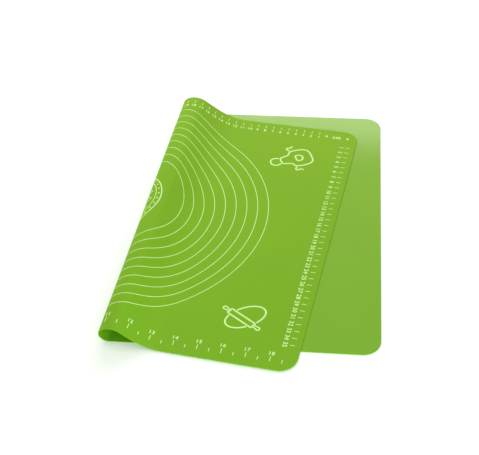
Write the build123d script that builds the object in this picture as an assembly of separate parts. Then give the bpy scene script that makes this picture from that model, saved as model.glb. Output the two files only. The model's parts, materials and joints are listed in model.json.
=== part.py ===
from build123d import *
import os
from math import acos, atan2, cos, degrees, pi, radians, sin, tan

# A thin silicone baking mat, folded once and laid print side out. Sizes are in millimetres, angles in degrees.
# The sheet never stretches: every zone of it is the flat mat, bent along straight fold lines that meet in one
# far point, so the loop of the fold is a little taller at the back of the mat than at the front.

# The flat mat
mat_width = 510.0
mat_depth = 410.0
sheet_thickness = 0.7
corner_radius = 20.0

# Where the sheet leaves the table: this fold line crosses the mat's middle line fold_offset from its centre
fold_offset = 5.3
fold_skew = 4.9
fold_point_distance = 1620.0

# The loop, in the upright section through the middle of that first fold line: a tight nose, a wider crest,
# a straight ramp and a hollow landing
nose_radius = 11.9
nose_turn = 150.0
crest_radius = 19.4
ramp_slope = 33.6
landing_radius = 66.0
leaf_clearance = 0.3

# The loop opens flat in strips, each a little short of its fold lines
nose_strips = 5
crest_strips = 3
landing_strips = 2
strip_clearance = 0.3

# Solids that are trimmed to the mat's edge start this much too long
overrun = 12.0

half_width = mat_width / 2
half_depth = mat_depth / 2
half_thickness = sheet_thickness / 2
half_turn = 180.0


def flat_direction(angle):
    """Unit vector on the flat mat along the fold line at this angle from the first one."""
    turn = radians(fold_skew - angle)
    return Vector(-sin(turn), cos(turn))


def flat_across(angle):
    """Unit vector on the flat mat square to that fold line, towards the upper leaf."""
    turn = radians(fold_skew - angle)
    return Vector(cos(turn), sin(turn))


# The far point where all fold lines meet, on the flat mat and in space. In space the first fold line
# and the lower leaf lie level, with the lower leaf's middle over the origin.
first_line_middle = Vector(fold_offset, 0)
flat_fold_point = first_line_middle - flat_direction(0) * fold_point_distance
lower_leaf_middle = (fold_offset - half_width) / 2
along_fold = Vector(sin(radians(fold_skew)), cos(radians(fold_skew)), 0)
across_fold = Vector(-cos(radians(fold_skew)), sin(radians(fold_skew)), 0)
upward = Vector(0, 0, 1)
fold_point = (
    Vector(lower_leaf_middle - fold_offset, 0, half_thickness) - along_fold * fold_point_distance
)


def loop_spans():
    """Length and turn of each strip round the middle section, from the lower leaf to the upper one."""
    slope = radians(ramp_slope)
    crest_turn = half_turn + ramp_slope - nose_turn
    nose_height = nose_radius * (1 - cos(radians(nose_turn)))
    crest_height = nose_height + crest_radius * (cos(radians(nose_turn)) + cos(slope))
    drop = crest_height - sheet_thickness - leaf_clearance
    ramp_length = (drop - landing_radius * (1 - cos(slope))) / sin(slope)
    nose = (nose_radius * radians(nose_turn) / nose_strips, nose_turn / nose_strips)
    crest = (crest_radius * radians(crest_turn) / crest_strips, crest_turn / crest_strips)
    landing = (landing_radius * slope / landing_strips, -ramp_slope / landing_strips)
    return [nose] * nose_strips + [crest] * crest_strips + [(ramp_length, 0.0)] + [landing] * landing_strips


class FoldLine:
    """One fold line: its point on the middle section, the sheet's heading there and its angle on the flat mat."""

    def __init__(self, x, z, heading, angle):
        self.x = x
        self.z = z
        self.heading = heading
        self.angle = angle

    def direction(self):
        """Unit vector in space along the fold line, away from the far point."""
        reach = along_fold * fold_point_distance + across_fold * self.x + upward * self.z
        return reach.normalized()

    def next(self, length, turn):
        """The fold line at the far side of a strip."""
        bow = radians(turn) / 2
        chord = length * (sin(bow) / bow if turn else 1)
        course = radians(self.heading) + bow
        x = self.x + chord * cos(course)
        z = self.z + chord * sin(course)
        line = FoldLine(x, z, self.heading + turn, 0)
        opening = degrees(acos(self.direction().dot(line.direction())))
        line.angle = self.angle + opening * length / chord
        return line

    def edge_point(self, side, shift=0.0):
        """Where the fold line, moved sideways by shift, meets the mat's front (-1) or back (1) edge, flat."""
        along = flat_direction(self.angle)
        run = (side * half_depth - flat_fold_point.Y) / along.Y
        return flat_fold_point + along * run + Vector(shift / flat_across(self.angle).X, 0)

    def plane(self):
        """The flat mat's own axes, laid on the sheet's tangent plane at this fold line."""
        line = self.direction()
        heading = radians(self.heading)
        ahead = across_fold * cos(heading) + upward * sin(heading)
        ahead = (ahead - line * ahead.dot(line)).normalized()
        along = flat_direction(self.angle)
        across = flat_across(self.angle)
        x_axis = line * along.X + ahead * across.X
        y_axis = line * along.Y + ahead * across.Y
        origin = fold_point - x_axis * flat_fold_point.X - y_axis * flat_fold_point.Y
        return Plane(origin=origin, x_dir=x_axis, z_dir=x_axis.cross(y_axis))


def fold_lines():
    lines = [FoldLine(0.0, 0.0, 0.0, 0.0)]
    for length, turn in loop_spans():
        lines.append(lines[-1].next(length, turn))
    return lines


def leaf(line, side):
    """A flat leaf from its fold line to the mat's left (-1) or right (1) edge, with the mat's rounded corners."""
    inner = side * strip_clearance / 2
    front = line.edge_point(-1, inner)
    back = line.edge_point(1, inner)
    corners = [front, (side * half_width, -half_depth), (side * half_width, half_depth), back]
    outline = make_face(Polyline(*corners, close=True))
    outer = outline.vertices().sort_by(Axis.X)[-2:] if side > 0 else outline.vertices().sort_by(Axis.X)[:2]
    outline = fillet(outer, corner_radius)
    return extrude(line.plane() * outline, amount=half_thickness, both=True)


def strip_section(start, length, turn, distance):
    """The strip's upright section at this distance from the far point."""
    scale = distance / fold_point_distance
    corner = Vector(start.x, start.z) * scale
    heading = radians(start.heading)
    gap = strip_clearance / 2
    if not turn:
        middle = corner + Vector(cos(heading), sin(heading)) * (length * scale / 2)
        face = Rot(0, 0, start.heading) * Rectangle(length * scale - 2 * gap, sheet_thickness)
        face = Pos(middle.X, middle.Y) * face
    else:
        radius = length / radians(abs(turn)) * scale
        bend = 1 if turn > 0 else -1
        centre = corner + Vector(-sin(heading), cos(heading)) * (bend * radius)
        inset = degrees(gap / radius)
        first = start.heading - bend * half_turn / 2 + bend * inset
        sweep = turn - 2 * bend * inset
        outer = CenterArc(centre, radius + half_thickness, first, sweep)
        inner = CenterArc(centre, radius - half_thickness, first, sweep)
        face = make_face([outer, inner, Line(outer @ 0, inner @ 0), Line(outer @ 1, inner @ 1)])
    return Plane(origin=fold_point + along_fold * distance, x_dir=across_fold, z_dir=along_fold) * face


def strip(start, end, length, turn):
    """A strip of the loop between two fold lines, trimmed to the mat's front and back edges."""
    reach = half_depth + overrun + tan(radians(fold_skew)) * mat_depth
    near = strip_section(start, length, turn, fold_point_distance - reach)
    far = strip_section(start, length, turn, fold_point_distance + reach)
    solid = loft([near, far], ruled=True)
    for side in (-1, 1):
        first = start.plane().from_local_coords(start.edge_point(side))
        last = end.plane().from_local_coords(end.edge_point(side))
        across = (last - first).normalized()
        outward = across.cross(start.plane().z_dir + end.plane().z_dir).normalized()
        outward = outward * (1 if outward.dot(along_fold) * side > 0 else -1)
        trim = Plane(origin=(first + last) / 2, x_dir=across, z_dir=outward)
        solid = split(solid, bisect_by=trim, keep=Keep.BOTTOM)
    return solid


def strip_names():
    names = [f"nose_strip_{i + 1}" for i in range(nose_strips)]
    names += [f"crest_strip_{i + 1}" for i in range(crest_strips)]
    names.append("ramp_strip")
    return names + [f"landing_strip_{i + 1}" for i in range(landing_strips)]


def build():
    lines = fold_lines()
    parts = {"lower_leaf": leaf(lines[0], -1)}
    for i, (length, turn) in enumerate(loop_spans()):
        parts[strip_names()[i]] = strip(lines[i], lines[i + 1], length, turn)
    parts["upper_leaf"] = leaf(lines[-1], 1)
    return parts


os.makedirs("parts", exist_ok=True)
for name, solid in build().items():
    export_step(solid, f"parts/{name}.step")
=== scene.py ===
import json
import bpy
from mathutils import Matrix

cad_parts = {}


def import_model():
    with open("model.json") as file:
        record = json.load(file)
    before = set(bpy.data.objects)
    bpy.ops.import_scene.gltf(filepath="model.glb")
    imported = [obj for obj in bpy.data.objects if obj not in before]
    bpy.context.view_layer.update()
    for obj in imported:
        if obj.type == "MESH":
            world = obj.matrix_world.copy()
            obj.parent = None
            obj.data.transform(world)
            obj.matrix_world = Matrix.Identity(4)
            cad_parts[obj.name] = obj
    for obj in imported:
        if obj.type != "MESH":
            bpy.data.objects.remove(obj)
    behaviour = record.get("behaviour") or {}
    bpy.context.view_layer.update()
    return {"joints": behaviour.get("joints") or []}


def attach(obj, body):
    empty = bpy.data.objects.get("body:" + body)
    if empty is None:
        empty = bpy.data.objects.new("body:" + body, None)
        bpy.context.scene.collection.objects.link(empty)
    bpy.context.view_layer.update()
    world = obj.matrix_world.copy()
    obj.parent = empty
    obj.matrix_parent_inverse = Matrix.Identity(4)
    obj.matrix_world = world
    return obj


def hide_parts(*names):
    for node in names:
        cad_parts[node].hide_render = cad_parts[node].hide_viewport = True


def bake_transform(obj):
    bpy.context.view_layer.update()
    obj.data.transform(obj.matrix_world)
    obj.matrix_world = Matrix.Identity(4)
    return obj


bl_info = {
    "name": "Silicone baking mat",
    "version": (1, 0, 0),
    "blender": (4, 5, 0),
    "location": "3D View > Sidebar > Baking mat",
    "description": "Models a folded silicone baking mat and its printed scales in zones that open flat",
    "category": "Add Mesh",
}

from bisect import bisect_right
from math import asin, atan2, cos, degrees, hypot, radians, sin

import bmesh
import bpy
from bpy.props import FloatProperty, FloatVectorProperty, IntProperty, PointerProperty
from mathutils import Matrix, Vector

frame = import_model()


# The flat mat and its fold, the same real sizes as the solids', in metres and degrees
mat_width = 0.510
mat_depth = 0.410
sheet_thickness = 0.0007
corner_radius = 0.020
fold_offset = 0.0053
fold_skew = 4.9
fold_point_distance = 1.620
nose_radius = 0.0119
nose_turn = 150.0
crest_radius = 0.0194
ramp_slope = 33.6
landing_radius = 0.066
leaf_clearance = 0.0003
nose_strips = 5
crest_strips = 3
landing_strips = 2

half_width = mat_width / 2
half_depth = mat_depth / 2
half_thickness = sheet_thickness / 2
half_turn = 180.0
ramp = nose_strips + crest_strips
# Every zone of the sheet at a hinge is divided into this many facets across it
facets = 8
mm = 0.001
inch = 0.0254
# Points nearer to each other than this are one point
weld = 1e-7
# A face is level where the upright share of its normal is more than this
nearly_level = 0.999


class MatSizes(bpy.types.PropertyGroup):
    """Sizes of the print and of the sheet's rim."""

    rim_share: FloatProperty(
        name="Rim rounding",
        description="How much of half the thickness the rounded rim takes",
        default=0.98,
        min=0.1,
        max=0.99,
        subtype="FACTOR",
    )
    ink_thickness: FloatProperty(
        name="Ink thickness",
        description="How far the printed ink stands proud of the sheet",
        default=0.00004,
        unit="LENGTH",
        precision=6,
    )
    ring_line: FloatProperty(
        name="Ring line",
        description="Width of a guide ring's line",
        default=0.0008,
        unit="LENGTH",
        precision=5,
    )
    ring_radius: FloatProperty(
        name="Smallest ring",
        description="Radius of the smallest guide ring",
        default=3 * inch,
        unit="LENGTH",
    )
    ring_step: FloatProperty(
        name="Ring step",
        description="How much larger each guide ring's radius is than the one inside it",
        default=inch / 2,
        unit="LENGTH",
    )
    ring_count: IntProperty(
        name="Rings", description="Number of guide rings", default=9, min=1, max=12
    )
    tick_line: FloatProperty(
        name="Tick line",
        description="Width of a scale's tick",
        default=0.0008,
        unit="LENGTH",
        precision=5,
    )
    numeral_height: FloatProperty(
        name="Numeral height",
        description="Height of the scales' numerals",
        default=0.0048,
        unit="LENGTH",
        precision=5,
    )
    drawing_line: FloatProperty(
        name="Drawing line",
        description="Width of the line drawings' strokes",
        default=0.0019,
        unit="LENGTH",
        precision=5,
    )


class MatColours(bpy.types.PropertyGroup):
    """Colours of the silicone, of its painted shade towards the front edge, of its print and of the
    floor.
    """

    silicone: FloatVectorProperty(
        name="Silicone",
        description="Colour of the silicone sheet",
        default=(0.226, 0.448, 0.0145),
        subtype="COLOR",
        min=0,
        max=1,
    )
    # Painted shade: the silicone green made darker towards the front edge, standing in for the light
    # that falls off there.
    silicone_front: FloatVectorProperty(
        name="Silicone, front",
        description="Colour of the silicone sheet towards its front edge",
        default=(0.194, 0.428, 0.0145),
        subtype="COLOR",
        min=0,
        max=1,
    )
    ink: FloatVectorProperty(
        name="Ink",
        description="Colour of the print",
        default=(0.70, 0.96, 0.36),
        subtype="COLOR",
        min=0,
        max=1,
    )
    floor: FloatVectorProperty(
        name="Floor",
        description="Colour of the table top under the mat",
        default=(0.88, 0.88, 0.88),
        subtype="COLOR",
        min=0,
        max=1,
    )


def sizes():
    return bpy.context.scene.mat_sizes


def colours():
    return bpy.context.scene.mat_colours


# The fold: where each point of the flat mat lies in space


def flat_direction(angle):
    """Unit vector on the flat mat along the fold line at this angle from the first one."""
    turn = radians(fold_skew - angle)
    return Vector((-sin(turn), cos(turn), 0))


def flat_across(angle):
    """Unit vector on the flat mat square to that fold line, towards the upper leaf."""
    turn = radians(fold_skew - angle)
    return Vector((cos(turn), sin(turn), 0))


flat_fold_point = Vector((fold_offset, 0, 0)) - flat_direction(0) * fold_point_distance
lower_leaf_middle = (fold_offset - half_width) / 2
along_fold = Vector((sin(radians(fold_skew)), cos(radians(fold_skew)), 0))
across_fold = Vector((-cos(radians(fold_skew)), sin(radians(fold_skew)), 0))
upward = Vector((0, 0, 1))
fold_point = (
    Vector((lower_leaf_middle - fold_offset, 0, half_thickness))
    - along_fold * fold_point_distance
)


def loop_spans():
    """Each strip's length and turn round the middle section, from the lower leaf to the upper one."""
    slope = radians(ramp_slope)
    crest_turn = half_turn + ramp_slope - nose_turn
    nose_height = nose_radius * (1 - cos(radians(nose_turn)))
    crest_height = nose_height + crest_radius * (cos(radians(nose_turn)) + cos(slope))
    drop = crest_height - sheet_thickness - leaf_clearance
    ramp_length = (drop - landing_radius * (1 - cos(slope))) / sin(slope)
    nose = (nose_radius * radians(nose_turn) / nose_strips, nose_turn / nose_strips)
    crest = (crest_radius * radians(crest_turn) / crest_strips, crest_turn / crest_strips)
    landing = (landing_radius * slope / landing_strips, -ramp_slope / landing_strips)
    spans = [nose] * nose_strips + [crest] * crest_strips
    return spans + [(ramp_length, 0.0)] + [landing] * landing_strips


class FoldLine:
    """A fold line: its point on the middle section, the sheet's heading there and its flat angle."""

    def __init__(self, x, z, heading, angle):
        self.x = x
        self.z = z
        self.heading = heading
        self.angle = angle

    def direction(self):
        """Unit vector in space along the fold line, away from the far point."""
        reach = along_fold * fold_point_distance + across_fold * self.x + upward * self.z
        return reach.normalized()

    def next(self, length, turn):
        """The fold line at the far side of a strip."""
        bow = radians(turn) / 2
        chord = length * (sin(bow) / bow if turn else 1)
        course = radians(self.heading) + bow
        x = self.x + chord * cos(course)
        z = self.z + chord * sin(course)
        line = FoldLine(x, z, self.heading + turn, 0)
        opening = degrees(2 * asin((line.direction() - self.direction()).length / 2))
        line.angle = self.angle + (opening * length / chord if length else 0)
        return line

    def axes(self):
        """The flat mat's own axes, laid on the sheet at this fold line, as a matrix's columns."""
        line = self.direction()
        heading = radians(self.heading)
        ahead = across_fold * cos(heading) + upward * sin(heading)
        ahead = (ahead - line * ahead.dot(line)).normalized()
        along = flat_direction(self.angle)
        across = flat_across(self.angle)
        x_axis = line * along.x + ahead * across.x
        y_axis = line * along.y + ahead * across.y
        return Matrix((x_axis, y_axis, x_axis.cross(y_axis))).transposed()


def fold_lines():
    lines = [FoldLine(0.0, 0.0, 0.0, 0.0)]
    for length, turn in loop_spans():
        lines.append(lines[-1].next(length, turn))
    return lines


class Fold:
    """Lays the flat mat in space. All fold lines meet in the far point, so nothing stretches."""

    def __init__(self):
        self.lines = fold_lines()
        self.angles = [line.angle for line in self.lines]
        self.known = {}

    def angle_of(self, flat):
        """The angle of the fold line through a point of the flat mat."""
        reach = flat - flat_fold_point
        return fold_skew - degrees(atan2(-reach.x, reach.y))

    def axes_at(self, angle):
        angle = min(max(angle, 0.0), self.angles[-1])
        key = round(angle, 7)
        if key not in self.known:
            strip = min(bisect_right(self.angles, angle), len(self.angles) - 1) - 1
            start = self.lines[strip]
            share = (angle - start.angle) / (self.angles[strip + 1] - start.angle)
            length, turn = loop_spans()[strip]
            line = start.next(length * share, turn * share) if share else start
            line = FoldLine(line.x, line.z, line.heading, angle)
            self.known[key] = line.axes()
        return self.known[key]

    def place(self, flat, axes):
        """The point in space of a flat point; its height is measured off the sheet's middle."""
        return fold_point + axes @ (flat - flat_fold_point)


class Zone:
    """A part of the sheet between two fold lines. It rides on one body, or lies between the two bodies
    of one hinge.
    """

    def __init__(self, name, first, last, bodies):
        self.name = name
        self.first = first
        self.last = last
        self.bodies = bodies
        self.start = None
        self.end = None

    def inner_angles(self):
        """The fold lines between the zone's own two where its facets meet."""
        if len(self.bodies) == 1:
            return []
        step = (self.last - self.first) / facets
        return [self.first + step * i for i in range(1, facets)]


def body_names():
    strips = [f"nose_strip_{i + 1}" for i in range(nose_strips)]
    strips += [f"crest_strip_{i + 1}" for i in range(crest_strips)]
    strips += ["ramp_strip"] + [f"landing_strip_{i + 1}" for i in range(landing_strips)]
    return ["lower_leaf"] + strips + ["upper_leaf"]


def zones_of(fold):
    """Zones from the lower leaf to the upper one. Zones across a hinge end in the middle of bent
    strips.
    """
    names = body_names()
    angles = fold.angles
    curved = [turn != 0 for _, turn in loop_spans()]

    def middle(strip):
        return (angles[strip] + angles[strip + 1]) / 2

    def lead(hinge):
        strip = hinge if hinge < len(curved) and curved[hinge] else hinge - 1
        third_of_ramp = (angles[ramp + 1] - angles[ramp]) / 3
        return min((angles[strip + 1] - angles[strip]) / 2, third_of_ramp)

    def before(hinge):
        bent_before = hinge > 0 and curved[hinge - 1]
        return middle(hinge - 1) if bent_before else angles[hinge] - lead(hinge)

    def after(hinge):
        bent_after = hinge < len(curved) and curved[hinge]
        return middle(hinge) if bent_after else angles[hinge] + lead(hinge)

    zones = [Zone("lower_leaf", None, before(0), names[:1])]
    joint_names = [joint["name"] for joint in frame["joints"]]
    for hinge, name in enumerate(joint_names):
        zones.append(Zone(name, before(hinge), after(hinge), names[hinge : hinge + 2]))
        if hinge == ramp:
            zones.append(Zone("ramp", after(hinge), before(hinge + 1), ["ramp_strip"]))
    zones.append(Zone("upper_leaf", after(len(joint_names) - 1), None, names[-1:]))
    return zones


fold = Fold()
zones = zones_of(fold)


# Shaping


def cut(shape, angle, **clear):
    """Cuts a flat shape along the fold line at this angle, and clears a side of it if told to."""
    geometry = shape.verts[:] + shape.edges[:] + shape.faces[:]
    bmesh.ops.bisect_plane(
        shape,
        geom=geometry,
        dist=weld,
        plane_co=flat_fold_point,
        plane_no=flat_across(angle),
        **clear,
    )


def part_in_zone(shape, zone):
    """A copy of the flat shape with what lies outside the zone cut off."""
    part = shape.copy()
    if zone.first is not None:
        cut(part, zone.first, clear_inner=True)
    if zone.last is not None:
        cut(part, zone.last, clear_outer=True)
    return part


def cap(part):
    """Closes the cut ends of a part and marks the new faces."""
    marks = part.faces.layers.int.get("cap") or part.faces.layers.int.new("cap")
    open_edges = [edge for edge in part.edges if edge.is_boundary]
    for face in bmesh.ops.holes_fill(part, edges=open_edges, sides=0)["faces"]:
        face[marks] = 1


def outward_on_rim(flat):
    """The direction out of the mat, level, at a point of its rounded rectangle's rim."""
    over_x = abs(flat.x) - (half_width - corner_radius)
    over_y = abs(flat.y) - (half_depth - corner_radius)
    if over_x > 0 and over_y > 0:
        out = Vector((over_x, over_y, 0)).normalized()
    elif over_x > over_y:
        out = Vector((1, 0, 0))
    else:
        out = Vector((0, 1, 0))
    return Vector((out.x if flat.x > 0 else -out.x, out.y if flat.y > 0 else -out.y, 0))


def flat_normals(part, rounded_rim):
    """Each face corner's normal on the flat shape. The rim's are those of a true half round."""
    marks = part.faces.layers.int.get("cap")
    normals = []
    for face in part.faces:
        level = abs(face.normal.z) > nearly_level
        capped = marks is not None and face[marks]
        for corner in face.loops:
            if level or capped or not rounded_rim:
                normals.append(face.normal.copy())
                continue
            flat = corner.vert.co
            lean = max(-1.0, min(1.0, flat.z / half_thickness))
            out = outward_on_rim(flat) * (1 - lean * lean) ** 0.5
            normals.append(out + upward * lean)
    return normals


def bend_into_place(part, rounded_rim=False):
    """Moves a flat part on to the folded sheet. Returns its corners' normals in space."""
    part.normal_update()
    part.faces.index_update()
    normals = flat_normals(part, rounded_rim)
    flat_places = part.verts.layers.float_vector.new("flat_place")
    frames = {}
    for vert in part.verts:
        frames[vert] = fold.axes_at(fold.angle_of(vert.co))
        vert[flat_places] = vert.co
    corners = [corner.vert for face in part.faces for corner in face.loops]
    normals = [frames[vert] @ normal for vert, normal in zip(corners, normals)]
    for vert in part.verts:
        vert.co = fold.place(vert.co, frames[vert])
    return normals


def finished(name, part, normals, material):
    """A scene object of a finished part, at the world origin."""
    mesh = bpy.data.meshes.new(name)
    part.to_mesh(mesh)
    part.free()
    mesh.shade_smooth()
    mesh.normals_split_custom_set(normals)
    mesh.materials.append(material)
    piece = bpy.data.objects.new(name, mesh)
    bpy.context.scene.collection.objects.link(piece)
    return piece


def fix_to_bodies(piece, zone):
    if len(zone.bodies) == 1:
        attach(piece, zone.bodies[0])
    else:
        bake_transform(piece)


# The sheet


def flat_sheet():
    """The whole mat, flat: a rounded rectangle with a half-round rim."""
    corner_segments = 14
    rim_segments = 3
    shape = bmesh.new()
    bmesh.ops.create_grid(shape, x_segments=1, y_segments=1, size=0.5)
    bmesh.ops.scale(shape, vec=(mat_width, mat_depth, 1), verts=shape.verts)
    bmesh.ops.bevel(
        shape,
        geom=shape.verts[:],
        offset=corner_radius,
        offset_type="OFFSET",
        affect="VERTICES",
        segments=corner_segments,
        profile=0.5,
        material=-1,
    )
    bmesh.ops.solidify(shape, geom=shape.faces[:], thickness=sheet_thickness)
    heights = [vert.co.z for vert in shape.verts]
    middle = (min(heights) + max(heights)) / 2
    bmesh.ops.translate(shape, vec=(0, 0, -middle), verts=shape.verts)
    bmesh.ops.recalc_face_normals(shape, faces=shape.faces[:])
    shape.normal_update()
    rim = [
        edge
        for edge in shape.edges
        if len(edge.link_faces) == 2
        and sorted(round(abs(face.normal.z)) for face in edge.link_faces) == [0, 1]
    ]
    bmesh.ops.bevel(
        shape,
        geom=rim,
        offset=half_thickness * sizes().rim_share,
        offset_type="OFFSET",
        affect="EDGES",
        segments=rim_segments,
        profile=0.5,
        material=-1,
    )
    return shape


def zone_flat_size(part, angle):
    """A flat part's width square to the fold line at this angle, its depth along it, and its area."""
    across = [flat_across(angle).dot(vert.co) for vert in part.verts]
    along = [flat_direction(angle).dot(vert.co) for vert in part.verts]
    area = sum(face.calc_area() for face in part.faces if face.normal.z > nearly_level)
    return max(across) - min(across), max(along) - min(along), area


def set_blend_reach(zone, piece):
    """Where a zone at a hinge meets its first body and its second: points along the sheet's course at
    its first and its last fold line.
    """
    flat_places = piece.data.attributes["flat_place"].data
    first, last = [], []
    # A quarter of a facet tells the zone's own edges from the facets' lines between them
    tolerance = (zone.last - zone.first) / facets / 4
    for vert in piece.data.vertices:
        angle = fold.angle_of(Vector(flat_places[vert.index].vector))
        if angle < zone.first + tolerance:
            first.append(vert.co)
        elif angle > zone.last - tolerance:
            last.append(vert.co)
    middle = (zone.first + zone.last) / 2
    line = fold.axes_at(middle) @ flat_direction(middle)
    course = sum(last, Vector()) / len(last) - sum(first, Vector()) / len(first)
    course -= line * course.dot(line)
    course.normalize()
    start = max(course.dot(place) for place in first)
    end = min(course.dot(place) for place in last)
    if start >= end:
        raise RuntimeError(f"the zone {zone.name} is too narrow to blend")
    zone.start = course * start
    zone.end = course * end


def model_sheet_zone(shape, zone, material):
    """The part of the sheet in one zone. It stands for the CAD nodes of the bodies it rides on."""
    part = part_in_zone(shape, zone)
    cap(part)
    for angle in zone.inner_angles():
        cut(part, angle)
    part.normal_update()
    edge = zone.last if zone.first is None else zone.first
    width, depth, area = zone_flat_size(part, edge)
    normals = bend_into_place(part, rounded_rim=True)
    piece = finished(f"{zone.name}_sheet", part, normals, material)
    if len(zone.bodies) == 2:
        set_blend_reach(zone, piece)
    fix_to_bodies(piece, zone)
    nodes = zone.bodies if len(zone.bodies) == 1 else [n for n in zone.bodies if not plain(n)]
    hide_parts(*nodes)


def plain(body):
    """Whether a body is flat, so that its own zone stands for it."""
    return body in ("lower_leaf", "ramp_strip", "upper_leaf")


# The print


def square(width, depth, x, y):
    """A flat rectangle of ink round a point."""
    shape = bmesh.new()
    bmesh.ops.create_grid(shape, x_segments=1, y_segments=1, size=0.5)
    bmesh.ops.scale(shape, vec=(width, depth, 1), verts=shape.verts)
    bmesh.ops.translate(shape, vec=(x, y, 0), verts=shape.verts)
    return shape


def ring(radius, line, x, y, segments=256):
    """A flat ring of ink whose line has its middle on the radius."""
    shape = bmesh.new()
    for r in (radius - line / 2, radius + line / 2):
        bmesh.ops.create_circle(shape, segments=segments, radius=r)
    bmesh.ops.bridge_loops(shape, edges=shape.edges[:])
    bmesh.ops.translate(shape, vec=(x, y, 0), verts=shape.verts)
    return shape


def arrow(size, turn, x, y):
    """A small filled triangle that points along the turn, in degrees from straight up."""
    shape = bmesh.new()
    bmesh.ops.create_circle(shape, cap_ends=True, segments=3, radius=size)
    bmesh.ops.rotate(shape, matrix=Matrix.Rotation(radians(turn), 3, "Z"), verts=shape.verts)
    bmesh.ops.translate(shape, vec=(x, y, 0), verts=shape.verts)
    return shape


def mesh_of(curve):
    """A curve or text as a mesh of its own."""
    carrier = bpy.data.objects.new("carrier", curve)
    bpy.context.scene.collection.objects.link(carrier)
    evaluated = carrier.evaluated_get(bpy.context.evaluated_depsgraph_get())
    mesh = bpy.data.meshes.new_from_object(evaluated)
    bpy.data.objects.remove(carrier)
    bpy.data.curves.remove(curve)
    return mesh


class Lettering:
    """Numerals in the plain built-in face, made a little bolder, each number made once."""

    # A numeral's height as a share of the face's size, and its outline's growth as a share of it
    height_share = 0.70
    growth_share = 0.035

    def __init__(self, height):
        self.height = height
        self.meshes = {}

    def mesh(self, text):
        if text not in self.meshes:
            curve = bpy.data.curves.new("numeral", "FONT")
            curve.body = text
            curve.align_x = "CENTER"
            curve.align_y = "CENTER"
            curve.size = self.height / self.height_share
            curve.offset = self.height * self.growth_share
            curve.space_character = 1.12
            curve.resolution_u = 3
            self.meshes[text] = mesh_of(curve)
        return self.meshes[text]

    def write(self, text, turn, x, y):
        shape = bmesh.new()
        shape.from_mesh(self.mesh(text))
        bmesh.ops.remove_doubles(shape, verts=shape.verts, dist=weld)
        bmesh.ops.rotate(shape, matrix=Matrix.Rotation(radians(turn), 3, "Z"), verts=shape.verts)
        bmesh.ops.translate(shape, vec=(x, y, 0), verts=shape.verts)
        return shape


def stroke(points, line, closed=False):
    """A smooth flat line of ink along points."""
    nib = bpy.data.curves.new("nib", "CURVE")
    nib_line = nib.splines.new("POLY")
    nib_line.points.add(1)
    nib_line.points[0].co = (-line / 2, 0, 0, 1)
    nib_line.points[1].co = (line / 2, 0, 0, 1)
    nib_object = bpy.data.objects.new("nib", nib)
    bpy.context.scene.collection.objects.link(nib_object)
    path = bpy.data.curves.new("stroke", "CURVE")
    path.dimensions = "2D"
    path.fill_mode = "NONE"
    path.bevel_mode = "OBJECT"
    path.bevel_object = nib_object
    spline = path.splines.new("NURBS")
    spline.points.add(len(points) - 1)
    for point, (x, y) in zip(spline.points, points):
        point.co = (x, y, 0, 1)
    spline.use_cyclic_u = closed
    spline.order_u = 3
    spline.use_endpoint_u = not closed
    spline.resolution_u = 6
    mesh = mesh_of(path)
    bpy.data.objects.remove(nib_object)
    bpy.data.curves.remove(nib)
    shape = bmesh.new()
    shape.from_mesh(mesh)
    bpy.data.meshes.remove(mesh)
    bmesh.ops.remove_doubles(shape, verts=shape.verts, dist=weld)
    return shape


def placed(shape, turn, x, y, scale=1.0):
    """The flat shape scaled, turned by this many degrees and moved."""
    bmesh.ops.scale(shape, vec=(scale, scale, 1), verts=shape.verts)
    bmesh.ops.rotate(shape, matrix=Matrix.Rotation(radians(turn), 3, "Z"), verts=shape.verts)
    bmesh.ops.translate(shape, vec=(x, y, 0), verts=shape.verts)
    return shape


def together(shapes):
    """Several flat shapes as one."""
    whole = bmesh.new()
    for shape in shapes:
        carrier = bpy.data.meshes.new("carrier")
        shape.to_mesh(carrier)
        shape.free()
        whole.from_mesh(carrier)
        bpy.data.meshes.remove(carrier)
    for face in whole.faces:
        face.normal_update()
    downward = [face for face in whole.faces if face.normal.z < 0]
    bmesh.ops.reverse_faces(whole, faces=downward)
    return whole


rings_middle = (0.0, 2.3 * mm)


def guide_rings():
    s = sizes()
    radii = [s.ring_radius + s.ring_step * i for i in range(s.ring_count)]
    return together([ring(radius, s.ring_line, *rings_middle) for radius in radii])


# The two inch scales have the same ticks and numerals
inch_tick = 6.4 * mm
half_inch_tick = 4.6 * mm
inch_numeral_share = 0.94
# The two centimetre scales start with the same arrow
arrow_size = 2.6 * mm


def inch_scale():
    """Whole and half inches along the front edge, numbered from the left."""
    line = sizes().tick_line
    numerals = Lettering(sizes().numeral_height * inch_numeral_share)
    zero = -230.0 * mm
    last = 18
    numeral_y = -183.6 * mm
    tick_y = -191.0 * mm
    half_tick_y = -192.3 * mm
    shapes = []
    for count in range(1, last + 1):
        x = zero + count * inch
        shapes.append(square(line, inch_tick, x, tick_y))
        shapes.append(numerals.write(str(count), 0, x, numeral_y))
    for count in range(last + 1):
        shapes.append(square(line, half_inch_tick, zero + (count + 0.5) * inch, half_tick_y))
    return together(shapes)


def left_inch_scale():
    """Whole and half inches up the left edge, numbered from the front."""
    line = sizes().tick_line
    numerals = Lettering(sizes().numeral_height * inch_numeral_share)
    zero = -182.0 * mm
    last = 14
    numeral_x = -234.6 * mm
    tick_x = -242.0 * mm
    half_tick_x = -243.3 * mm
    shapes = []
    for count in range(1, last + 1):
        y = zero + count * inch
        shapes.append(square(inch_tick, line, tick_x, y))
        shapes.append(numerals.write(str(count), 90, numeral_x, y))
        shapes.append(square(half_inch_tick, line, half_tick_x, y - inch / 2))
    return together(shapes)


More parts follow.
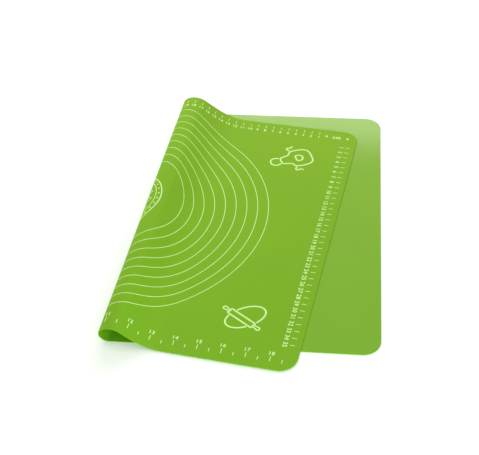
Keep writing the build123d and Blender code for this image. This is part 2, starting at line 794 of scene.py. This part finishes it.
def side_centimetres():
    """Centimetres down the right edge, read from the right, counted from the back."""
    line = sizes().tick_line
    numerals = Lettering(sizes().numeral_height)
    zero = 181.5 * mm
    last = 35
    numeral_x = 237.7 * mm
    tick = 5.2 * mm
    tick_x = 245.8 * mm
    shapes = []
    for count in range(1, last + 1):
        y = zero - count * 10 * mm
        shapes.append(square(tick, line, tick_x, y))
        shapes.append(numerals.write(str(count), -90, numeral_x, y))
    shapes.append(arrow(arrow_size, 180, 242.3 * mm, 190.6 * mm))
    return together(shapes)


def back_centimetres():
    """Centimetres along the back edge, counted from the right, read upright."""
    line = sizes().tick_line
    numeral_share, unit_share = 0.88, 1.25
    numerals = Lettering(sizes().numeral_height * numeral_share)
    unit = Lettering(sizes().numeral_height * unit_share)
    zero = 215.8 * mm
    last = 44
    numeral_y = 188.0 * mm
    tick = 4.8 * mm
    tick_y = 196.0 * mm
    shapes = []
    for count in range(1, last + 1):
        x = zero - count * 10 * mm
        shapes.append(square(line, tick, x, tick_y))
        shapes.append(numerals.write(str(count), 0, x, numeral_y))
    shapes.append(arrow(arrow_size, 90, 215.3 * mm, 191.5 * mm))
    shapes.append(unit.write("cm", 0, 228.4 * mm, 191.0 * mm))
    return together(shapes)


def in_mm(points):
    """Points given in millimetres, in metres."""
    return [(x * mm, y * mm) for x, y in points]


def mirrored(points):
    """Points on the other side of a drawing's upright middle line."""
    return [(-x, y) for x, y in points]


def arc_points(radius_x, radius_y, start, sweep, count):
    """Points on an ellipse's arc, in degrees."""
    steps = [radians(start + sweep * i / (count - 1)) for i in range(count)]
    return [(radius_x * cos(t), radius_y * sin(t)) for t in steps]


def apron_drawing():
    """A plain kitchen apron in outline: bib, neck band, skirt, round pocket and two ties."""
    line = sizes().drawing_line * 1.2
    turn, scale = 118, 0.88
    middle = (186.5 * mm, 138.5 * mm)
    body = in_mm([(7, 22), (8, 14), (10, 8), (17, 5), (18, -4), (17, -15), (13, -21), (5, -22.5)])
    body += mirrored(body[::-1])
    neck = in_mm([(-6, 23), (-9, 30), (-5, 36), (0, 37), (5, 36), (9, 30), (6, 23)])
    pocket = [(-6, 0), (0, 0), (6, 0), (6.5, -5), (4, -9), (0, -10), (-4, -9), (-6.5, -5)]
    tie = in_mm([(18.5, 4), (23, 8), (27, 5), (24, 1), (28, -3)])
    shapes = [
        stroke(body, line, closed=True),
        stroke(neck, line),
        stroke(in_mm(pocket), line, closed=True),
        stroke(tie, line),
        stroke(mirrored(tie), line),
    ]
    return [placed(shape, turn, *middle, scale) for shape in shapes]


def rolling_pin_drawing():
    """A rolling pin that lies across an oval of rolled dough; the oval's line stops at the pin."""
    line = sizes().drawing_line
    grip_line = line * 0.85
    half_pin = 3.6 * mm
    gap = half_pin + 0.95 * line
    pin_turn = -29.4
    oval_turn = 38.0
    oval_x, oval_y = 23 * mm, 13.2 * mm
    half_oval_points = 14
    relative = radians(pin_turn - oval_turn)
    reach = hypot(oval_x * sin(relative), oval_y * cos(relative))
    phase = degrees(atan2(-oval_x * sin(relative), oval_y * cos(relative)))
    middle = Vector((185.5 * mm, -142 * mm))
    oval_middle = Vector((189.5 * mm, -139.5 * mm))
    square_to_pin = Vector((-sin(radians(pin_turn)), cos(radians(pin_turn))))
    aside = square_to_pin.dot(oval_middle - middle)
    shapes = []
    for side, clear in ((0, gap - aside), (half_turn, gap + aside)):
        stop = degrees(asin(clear / reach))
        start, sweep = side + stop - phase, half_turn - 2 * stop
        points = arc_points(oval_x, oval_y, start, sweep, half_oval_points)
        shapes.append(placed(stroke(points, line), oval_turn, *oval_middle))
    half_body = 16.5 * mm
    corner = 1.2 * mm
    end = [(half_body - corner, half_pin), (half_body, half_pin), (half_body, half_pin - corner)]
    body = end + [(x, -y) for x, y in reversed(end)]
    body += [(-x, -y) for x, y in end] + [(-x, y) for x, y in reversed(end)]
    shapes.append(placed(stroke(body, line, closed=True), pin_turn, *middle))
    half_grip = in_mm([(17.6, 1.4), (19.6, 1.3), (22.6, 2.2), (25.2, 1.7)])
    grip = half_grip + [(x, -y) for x, y in reversed(half_grip)]
    for side in (0, half_turn):
        shapes.append(placed(stroke(grip, grip_line), pin_turn + side, *middle))
    return shapes


def line_drawings():
    return together(apron_drawing() + rolling_pin_drawing())


def rosette():
    """A round ornament of leaves and dots round the mat's middle."""
    line = 0.9 * mm
    outer_line = line * 1.5
    outer_radius = 48 * mm
    inner_radius = 41.5 * mm
    dots_radius = 44.7 * mm
    dot_radius = 1.1 * mm
    leaves = 16
    dots = 32
    leaf = [(0, 38.5), (-3.6, 32), (-4.6, 26), (-3.2, 19), (0, 12.5), (3.2, 19), (4.6, 26), (3.6, 32)]
    shapes = [
        ring(outer_radius, outer_line, *rings_middle, segments=128),
        ring(inner_radius, line, *rings_middle, segments=128),
    ]
    for i in range(leaves):
        outline = stroke(in_mm(leaf), line, closed=True)
        shapes.append(placed(outline, i * 360 / leaves, *rings_middle))
    for i in range(dots):
        dot = bmesh.new()
        bmesh.ops.create_circle(dot, cap_ends=True, segments=12, radius=dot_radius)
        turn = radians(i * 360 / dots)
        x = rings_middle[0] + dots_radius * cos(turn)
        y = rings_middle[1] + dots_radius * sin(turn)
        shapes.append(placed(dot, 0, x, y))
    return together(shapes)


# How far each layer of ink reaches into the sheet, so that the two never share a plane
ink_sunk = 0.02 * mm


def model_print_zone(shape, zone, name, material):
    """The part of a print in one zone, as a thin closed layer of ink on the printed side."""
    part = part_in_zone(shape, zone)
    for angle in zone.inner_angles():
        cut(part, angle)
    if not part.faces:
        part.free()
        return None
    thickness = sizes().ink_thickness + ink_sunk
    level = half_thickness - ink_sunk
    extruded = bmesh.ops.extrude_face_region(part, geom=part.faces[:])["geom"]
    raised = [item for item in extruded if isinstance(item, bmesh.types.BMVert)]
    bmesh.ops.translate(part, vec=(0, 0, thickness), verts=raised)
    bmesh.ops.translate(part, vec=(0, 0, level), verts=part.verts)
    bmesh.ops.recalc_face_normals(part, faces=part.faces[:])
    normals = bend_into_place(part)
    piece = finished(name, part, normals, material)
    fix_to_bodies(piece, zone)
    return piece


# Finishes


class Shade:
    """A shader socket's value, with the sums that the finishes need."""

    def __init__(self, graph, socket):
        self.graph = graph
        self.socket = socket

    def sum(self, operation, *values):
        return self.graph.node("ShaderNodeMath", {"operation": operation}, dict(enumerate(values)))

    def __add__(self, other):
        return self.sum("ADD", self, other)

    def __radd__(self, other):
        return self.sum("ADD", other, self)

    def __sub__(self, other):
        return self.sum("SUBTRACT", self, other)

    def __rsub__(self, other):
        return self.sum("SUBTRACT", other, self)

    def __mul__(self, other):
        return self.sum("MULTIPLY", self, other)

    def __rmul__(self, other):
        return self.sum("MULTIPLY", other, self)

    def clamped(self):
        return self.graph.node(
            "ShaderNodeMath", {"operation": "ADD", "use_clamp": True}, {0: self, 1: 0.0}
        )


class Graph:
    """A material's or the world's nodes."""

    def __init__(self, owner):
        owner.use_nodes = True
        self.tree = owner.node_tree
        self.tree.nodes.clear()

    def node(self, kind, settings=None, inputs=None, output=0):
        made = self.tree.nodes.new(kind)
        for name, value in (settings or {}).items():
            setattr(made, name, value)
        for name, value in (inputs or {}).items():
            self.feed(made.inputs[name], value)
        return Shade(self, made.outputs[output]) if made.outputs else None

    def feed(self, socket, value):
        if isinstance(value, Shade):
            self.tree.links.new(value.socket, socket)
        else:
            socket.default_value = value

    def mix_colour(self, factor, first, second):
        """A colour between two others."""
        return self.node(
            "ShaderNodeMix",
            {"data_type": "RGBA"},
            {0: factor, 6: first, 7: second},
            output=2,
        )

    def noise(self, place, scale, detail):
        values = {"Vector": place, "Scale": scale, "Detail": detail}
        return self.node("ShaderNodeTexNoise", {}, values)

    def stretched(self, place, factors):
        return self.node("ShaderNodeVectorMath", {"operation": "MULTIPLY"}, {0: place, 1: factors})


def tint(colour, factor):
    """A colour made lighter or darker by a factor, with its alpha."""
    return (*[min(1.0, channel * factor) for channel in colour], 1.0)


def silicone_material():
    """Satin silicone that lets some lamplight through, with painted shade darkening its green towards
    the front edge. The printed side is matt, the back shinier.
    """
    material = bpy.data.materials.new("satin_silicone")
    graph = Graph(material)
    place = graph.node("ShaderNodeAttribute", {"attribute_name": "flat_place"}, output="Vector")
    depth = graph.node("ShaderNodeSeparateXYZ", {}, {0: place}, output="Y")
    height = graph.node("ShaderNodeSeparateXYZ", {}, {0: place}, output="Z")
    # These two go from nought to one: from the back edge to the front, for the painted shade there, and
    # on the unprinted side
    painted_shade_to_front = (0.5 - depth * (1 / mat_depth)).clamped()
    back_side = (height * (-2 / half_thickness)).clamped()
    clouds = graph.noise(place, scale=9.0, detail=3.0)
    mottle = graph.noise(place, scale=90.0, detail=2.0)
    grain = graph.noise(place, scale=1500.0, detail=1.0)
    streaks = graph.noise(graph.stretched(place, (12.0, 260.0, 1.0)), scale=1.0, detail=3.0)
    shade = clouds * 0.75 + mottle * 0.25
    darker, lighter = 0.93, 1.07
    greens = (colours().silicone, colours().silicone_front)
    tones = [graph.mix_colour(shade, tint(g, darker), tint(g, lighter)) for g in greens]
    # Painted shade: the green turns to the darker front colour towards the front edge.
    base = graph.mix_colour(painted_shade_to_front, *tones)
    roughness = 0.68 + (mottle - 0.5) * 0.10
    waves = clouds * 0.6 + back_side * streaks * 0.02 + grain * 0.004
    bump = graph.node(
        "ShaderNodeBump", {}, {"Strength": 0.35, "Distance": 0.0006, "Height": waves}
    )
    shader = graph.node(
        "ShaderNodeBsdfPrincipled",
        {},
        {
            "Base Color": base,
            "Roughness": roughness,
            "Normal": bump,
            "IOR": 1.41,
            "Specular IOR Level": 0.12,
            "Coat Weight": back_side * (0.24 + streaks * 0.15),
            "Coat Roughness": 0.11,
        },
    )
    # What each face of the sheet lets through of a lamp's red, green and blue
    let_through = (0.33, 0.55, 0.275, 1.0)
    through = graph.node("ShaderNodeBsdfTransparent", {}, {"Color": let_through})
    from_lamp = graph.node("ShaderNodeLightPath", {}, output="Is Shadow Ray")
    sheer = graph.node("ShaderNodeMixShader", {}, {0: from_lamp, 1: shader, 2: through})
    graph.node("ShaderNodeOutputMaterial", {}, {"Surface": sheer})
    return material


def ink_material():
    """Thin pale silicone ink, a little uneven, that lets some of the green through."""
    material = bpy.data.materials.new("printed_ink")
    graph = Graph(material)
    place = graph.node("ShaderNodeAttribute", {"attribute_name": "flat_place"}, output="Vector")
    blots = graph.noise(place, scale=700.0, detail=3.0)
    clouds = graph.noise(place, scale=40.0, detail=2.0)
    pale = colours().ink
    green = colours().silicone
    thin = [p * 0.88 + g * 0.12 for p, g in zip(pale, green)]
    cover = (blots * 0.6 + clouds * 0.4).clamped()
    base = graph.mix_colour(cover, tint(thin, 1.0), tint(pale, 1.0))
    bump = graph.node(
        "ShaderNodeBump", {}, {"Strength": 0.3, "Distance": 0.00004, "Height": blots}
    )
    shader = graph.node(
        "ShaderNodeBsdfPrincipled",
        {},
        {
            "Base Color": base,
            "Roughness": 0.6 + blots * 0.15,
            "Normal": bump,
            "IOR": 1.41,
            "Specular IOR Level": 0.2,
        },
    )
    graph.node("ShaderNodeOutputMaterial", {}, {"Surface": shader})
    return material


def seen_ray(graph):
    """One where the camera or a shiny surface looks, nought for light that a surface gathers."""
    seen = graph.node("ShaderNodeLightPath", {}, output="Is Camera Ray")
    for ray in ("Is Glossy Ray", "Is Transmission Ray"):
        seen = seen + graph.node("ShaderNodeLightPath", {}, output=ray)
    return seen.clamped()


def floor_material():
    """White table top, lifted to plain white for the camera and shiny surfaces. Its shadows stay."""
    material = bpy.data.materials.new("floor")
    graph = Graph(material)
    seen = seen_ray(graph)
    white = tint(colours().floor, 1.0)
    surface = graph.node("ShaderNodeBsdfDiffuse", {}, {"Color": white})
    place = graph.node("ShaderNodeTexCoord", {}, output="Object")
    reach = graph.node("ShaderNodeVectorMath", {"operation": "LENGTH"}, {0: place}, output="Value")
    near_lift, far_lift = 0.2, 0.6
    far = (reach * 0.6 - 0.35).clamped()
    glow = graph.node("ShaderNodeEmission", {}, {"Strength": 1.0})
    lifted = graph.node("ShaderNodeAddShader", {}, {0: surface, 1: glow})
    lift = seen * (near_lift + far * (far_lift - near_lift))
    shader = graph.node("ShaderNodeMixShader", {}, {0: lift, 1: surface, 2: lifted})
    graph.node("ShaderNodeOutputMaterial", {}, {"Surface": shader})
    return material


def known_material(name, maker):
    return bpy.data.materials.get(name) or maker()


# The stage


def soft_box(name, place, target, width, height, watts, colour=(1.0, 1.0, 1.0)):
    """A soft rectangular lamp that faces a point."""
    lamp = bpy.data.lights.new(name, "AREA")
    lamp.color = colour
    lamp.shape = "RECTANGLE"
    lamp.size = width
    lamp.size_y = height
    lamp.energy = watts
    box = bpy.data.objects.new(name, lamp)
    box.location = place
    facing = Vector(target) - Vector(place)
    box.rotation_euler = facing.to_track_quat("-Z", "Y").to_euler()
    bpy.context.scene.collection.objects.link(box)


def make_floor():
    """The table top, a hair below the mat so that the two never share a plane."""
    table_reach = 4.0
    hair = 0.05 * mm
    shape = bmesh.new()
    bmesh.ops.create_grid(shape, x_segments=1, y_segments=1, size=table_reach)
    bmesh.ops.translate(shape, vec=(0, 0, -hair), verts=shape.verts)
    mesh = bpy.data.meshes.new("table_top")
    shape.to_mesh(mesh)
    shape.free()
    mesh.materials.append(floor_material())
    table_top = bpy.data.objects.new("table_top", mesh)
    bpy.context.scene.collection.objects.link(table_top)


def make_camera():
    """The photograph's view: from the front, a little to the right, 41 degrees above the table."""
    right = Vector((0.99481, 0.09779, -0.02826))
    up = Vector((-0.04319, 0.65690, 0.75274))
    back = right.cross(up)
    camera = bpy.data.cameras.new("camera")
    camera.lens = 78.96
    camera.sensor_width = 36.0
    camera.sensor_fit = "HORIZONTAL"
    camera.clip_start = 0.01
    viewer = bpy.data.objects.new("camera", camera)
    turned = Matrix((right, up, back)).transposed()
    viewer.matrix_world = Matrix.Translation((0.08003, -0.92359, 0.79643)) @ turned.to_4x4()
    bpy.context.scene.collection.objects.link(viewer)
    bpy.context.scene.camera = viewer


def make_world():
    """Plain white to look at, and half as bright as light on the mat."""
    world = bpy.context.scene.world or bpy.data.worlds.new("studio")
    bpy.context.scene.world = world
    graph = Graph(world)
    seen = seen_ray(graph)
    light = 0.50
    sky = graph.node(
        "ShaderNodeBackground",
        {},
        {"Color": (1.0, 1.0, 1.0, 1.0), "Strength": light + seen * (1 - light)},
    )
    graph.node("ShaderNodeOutputWorld", {}, {"Surface": sky})


# Operators


class MAT_OT_sheet(bpy.types.Operator):
    """Model the silicone sheet in zones that follow the fold"""

    bl_idname = "baking_mat.sheet"
    bl_label = "Silicone sheet"

    def execute(self, context):
        shape = flat_sheet()
        material = known_material("satin_silicone", silicone_material)
        for zone in zones:
            model_sheet_zone(shape, zone, material)
        shape.free()
        return {"FINISHED"}


class PrintOperator:
    """What the operators for the print share: each makes one print, zone by zone."""

    def prints(self):
        raise NotImplementedError

    def execute(self, context):
        material = known_material("printed_ink", ink_material)
        for name, shape in self.prints():
            made = [model_print_zone(shape, z, f"{z.name}_{name}", material) for z in zones]
            shape.free()
            if not any(made):
                raise RuntimeError(f"the print {name} has nothing on the mat")
        return {"FINISHED"}


class MAT_OT_rings(PrintOperator, bpy.types.Operator):
    """Print the round guide rings"""

    bl_idname = "baking_mat.rings"
    bl_label = "Guide rings"

    def prints(self):
        return [("rings", guide_rings())]


class MAT_OT_scales(PrintOperator, bpy.types.Operator):
    """Print the inch and centimetre scales along the four edges"""

    bl_idname = "baking_mat.scales"
    bl_label = "Edge scales"

    def prints(self):
        return [
            ("front_inches", inch_scale()),
            ("left_inches", left_inch_scale()),
            ("side_centimetres", side_centimetres()),
            ("back_centimetres", back_centimetres()),
        ]


class MAT_OT_drawings(PrintOperator, bpy.types.Operator):
    """Print the apron, the rolling pin and the rosette"""

    bl_idname = "baking_mat.drawings"
    bl_label = "Drawings"

    def prints(self):
        return [("drawings", line_drawings()), ("rosette", rosette())]


class MAT_OT_stage(bpy.types.Operator):
    """Set up the table top, the soft lamps, the world and the camera"""

    bl_idname = "baking_mat.stage"
    bl_label = "Stage"

    def execute(self, context):
        context.scene.view_settings.view_transform = "Standard"
        make_floor()
        make_world()
        make_camera()
        soft_box(
            "back_panel",
            place=(0.1, 1.9, 0.98),
            target=(0.05, 0.1, 0.0),
            width=2.6,
            height=0.5,
            watts=32,
        )
        soft_box(
            "top_panel",
            place=(-1.1, 0.1, 1.5),
            target=(0.0, 0.0, 0.0),
            width=1.2,
            height=1.2,
            watts=10,
        )
        soft_box(
            "loop_fill",
            place=(0.08, -0.75, 0.05),
            target=(-0.14, -0.2, 0.012),
            width=0.30,
            height=0.08,
            watts=3.6,
            colour=(0.72, 1.0, 0.56),
        )
        return {"FINISHED"}


class MAT_PT_panel(bpy.types.Panel):
    """Lists the mat's sizes, colours and operators in the sidebar"""

    bl_label = "Baking mat"
    bl_idname = "MAT_PT_panel"
    bl_space_type = "VIEW_3D"
    bl_region_type = "UI"
    bl_category = "Baking mat"

    def draw(self, context):
        layout = self.layout
        for group in (context.scene.mat_sizes, context.scene.mat_colours):
            for name in group.__annotations__:
                layout.prop(group, name)
        for operator in piece_operators:
            layout.operator(operator.bl_idname)


piece_operators = (MAT_OT_sheet, MAT_OT_rings, MAT_OT_scales, MAT_OT_drawings, MAT_OT_stage)
classes = (MatSizes, MatColours, *piece_operators, MAT_PT_panel)


def register():
    for item in classes:
        bpy.utils.register_class(item)
    bpy.types.Scene.mat_sizes = PointerProperty(type=MatSizes)
    bpy.types.Scene.mat_colours = PointerProperty(type=MatColours)


def unregister():
    del bpy.types.Scene.mat_sizes
    del bpy.types.Scene.mat_colours
    for item in reversed(classes):
        bpy.utils.unregister_class(item)


def main():
    register()
    for operator in piece_operators:
        group, name = operator.bl_idname.split(".")
        getattr(getattr(bpy.ops, group), name)()


if __name__ == "__main__":
    main()
